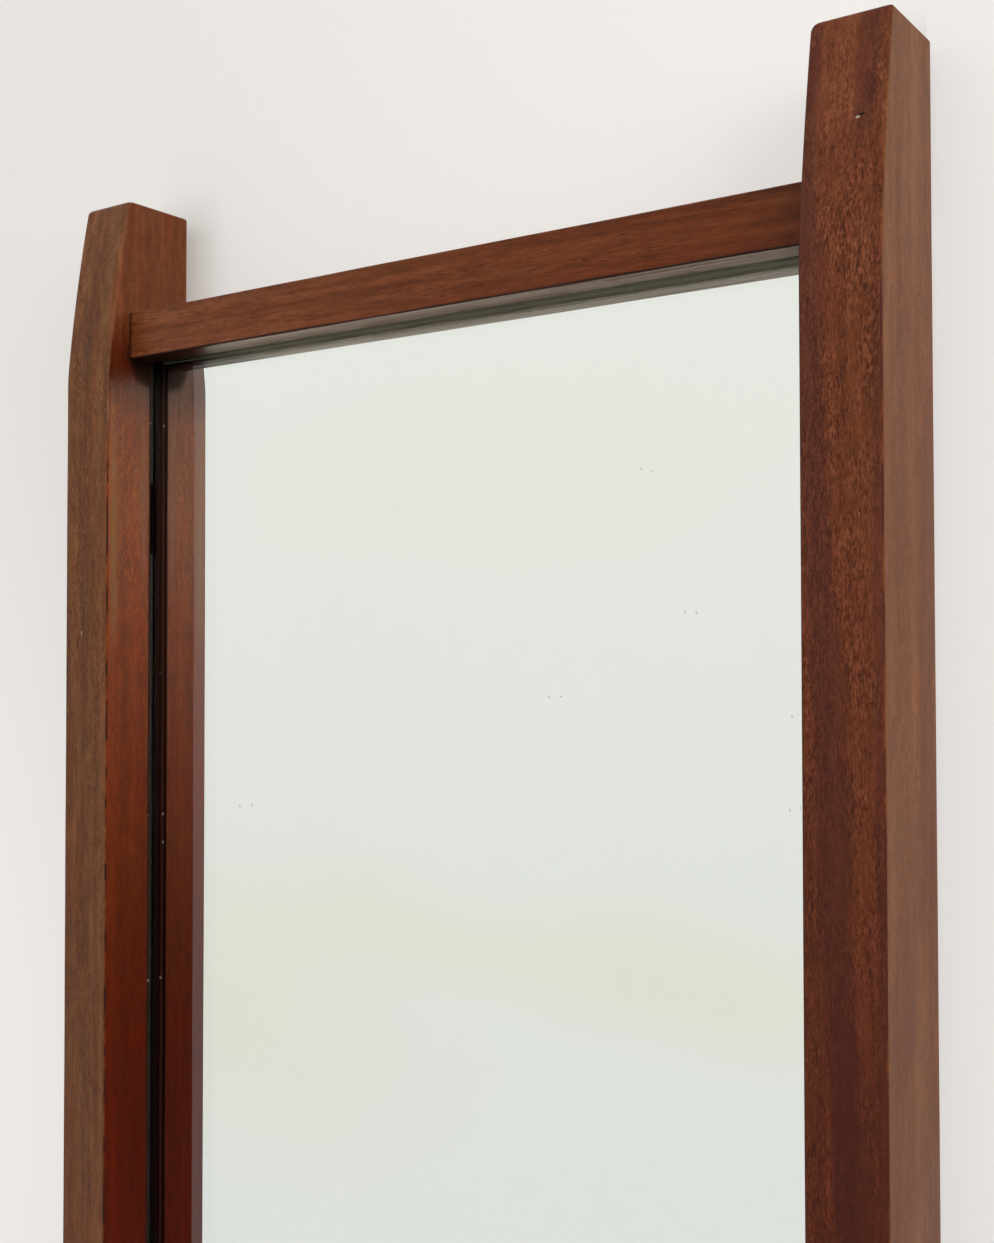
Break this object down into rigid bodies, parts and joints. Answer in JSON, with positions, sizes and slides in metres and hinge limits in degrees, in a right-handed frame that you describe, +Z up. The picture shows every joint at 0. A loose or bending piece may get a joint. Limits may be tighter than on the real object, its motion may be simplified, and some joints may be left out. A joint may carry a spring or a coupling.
{
  "type": "pier mirror",
  "caption": "Tall narrow wall mirror: plate glass in a slim hardwood frame whose upright stiles run past the rails and lean back at their ends.",
  "frame": {"origin": "on the line between the two hanger rings' pivots, midway between the stiles, in the plane of the frame's back; that is also the middle of the top rail's height", "axes": "+X to the right as seen from the front, +Y backwards into the wall, +Z up along the stiles"},
  "size_m": [0.346, 0.0477, 1.12],
  "materials": {
    "hardwood": "satin, reddish brown, oiled or thinly varnished, with ribbon grain and short dark pores",
    "dowel_wood": "bare beech",
    "mirror_glass": "clear plate with a faint green cast, silvered on the back",
    "felt": "matt black felt strip",
    "cork": "raw cork",
    "softwood": "bare pine",
    "hardboard": "brown hardboard, matt",
    "brass": "satin, lightly dulled",
    "plated_steel": "zinc plated",
    "rubber": "matt black"
  },
  "bodies": {
    "frame": {"left_stile": "hardwood", "right_stile": "hardwood", "top_rail": "hardwood", "bottom_rail": "hardwood", "top_left_dowel_front": "dowel_wood", "top_left_dowel_back": "dowel_wood", "top_right_dowel_front": "dowel_wood", "top_right_dowel_back": "dowel_wood", "bottom_left_dowel_front": "dowel_wood", "bottom_left_dowel_back": "dowel_wood", "bottom_right_dowel_front": "dowel_wood", "bottom_right_dowel_back": "dowel_wood", "mirror_glass": "mirror_glass", "left_seating_strip": "felt", "right_seating_strip": "felt", "top_seating_strip": "felt", "bottom_seating_strip": "felt", "left_setting_block": "cork", "right_setting_block": "cork", "left_side_spacer_upper": "cork", "left_side_spacer_lower": "cork", "right_side_spacer_upper": "cork", "right_side_spacer_lower": "cork", "left_fillet": "softwood", "right_fillet": "softwood", "top_fillet": "softwood", "bottom_fillet": "softwood", "backing_board": "hardboard", "left_turn_button_1_screw": "brass", "left_turn_button_2_screw": "brass", "left_turn_button_3_screw": "brass", "right_turn_button_1_screw": "brass", "right_turn_button_2_screw": "brass", "right_turn_button_3_screw": "brass", "top_turn_button_screw": "brass", "bottom_turn_button_screw": "brass", "left_hanger_plate": "plated_steel", "right_hanger_plate": "plated_steel", "left_hanger_screw_1": "plated_steel", "left_hanger_screw_2": "plated_steel", "right_hanger_screw_1": "plated_steel", "right_hanger_screw_2": "plated_steel", "left_wall_bumper": "rubber", "right_wall_bumper": "rubber"},
    "left_button_1": {"left_turn_button_1": "brass"},
    "left_button_2": {"left_turn_button_2": "brass"},
    "left_button_3": {"left_turn_button_3": "brass"},
    "right_button_1": {"right_turn_button_1": "brass"},
    "right_button_2": {"right_turn_button_2": "brass"},
    "right_button_3": {"right_turn_button_3": "brass"},
    "top_button": {"top_turn_button": "brass"},
    "bottom_button": {"bottom_turn_button": "brass"},
    "left_ring": {"left_hanger_ring": "plated_steel"},
    "right_ring": {"right_hanger_ring": "plated_steel"}
  },
  "joints": [
    {"name": "left_turn_button_1_turn", "type": "hinge", "parent": "frame", "child": "left_button_1", "pos_m": [-0.1635, 0.00085, -0.1115], "axis": [0, 1, 0], "continuous": true},
    {"name": "left_turn_button_2_turn", "type": "hinge", "parent": "frame", "child": "left_button_2", "pos_m": [-0.1635, 0.00085, -0.5045], "axis": [0, 1, 0], "continuous": true},
    {"name": "left_turn_button_3_turn", "type": "hinge", "parent": "frame", "child": "left_button_3", "pos_m": [-0.1635, 0.00085, -0.8975], "axis": [0, 1, 0], "continuous": true},
    {"name": "right_turn_button_1_turn", "type": "hinge", "parent": "frame", "child": "right_button_1", "pos_m": [0.1635, 0.00085, -0.1115], "axis": [0, 1, 0], "continuous": true},
    {"name": "right_turn_button_2_turn", "type": "hinge", "parent": "frame", "child": "right_button_2", "pos_m": [0.1635, 0.00085, -0.5045], "axis": [0, 1, 0], "continuous": true},
    {"name": "right_turn_button_3_turn", "type": "hinge", "parent": "frame", "child": "right_button_3", "pos_m": [0.1635, 0.00085, -0.8975], "axis": [0, 1, 0], "continuous": true},
    {"name": "top_turn_button_turn", "type": "hinge", "parent": "frame", "child": "top_button", "pos_m": [0, 0.00085, 0.004], "axis": [0, 1, 0], "continuous": true},
    {"name": "bottom_turn_button_turn", "type": "hinge", "parent": "frame", "child": "bottom_button", "pos_m": [0, 0.00085, -1.013], "axis": [0, 1, 0], "continuous": true},
    {"name": "left_ring_swing", "type": "hinge", "parent": "frame", "child": "left_ring", "pos_m": [-0.1635, 0.00245, 0], "axis": [1, 0, 0], "range_deg": [0, 180]},
    {"name": "right_ring_swing", "type": "hinge", "parent": "frame", "child": "right_ring", "pos_m": [0.1635, 0.00245, 0], "axis": [1, 0, 0], "range_deg": [0, 180]}
  ]
}
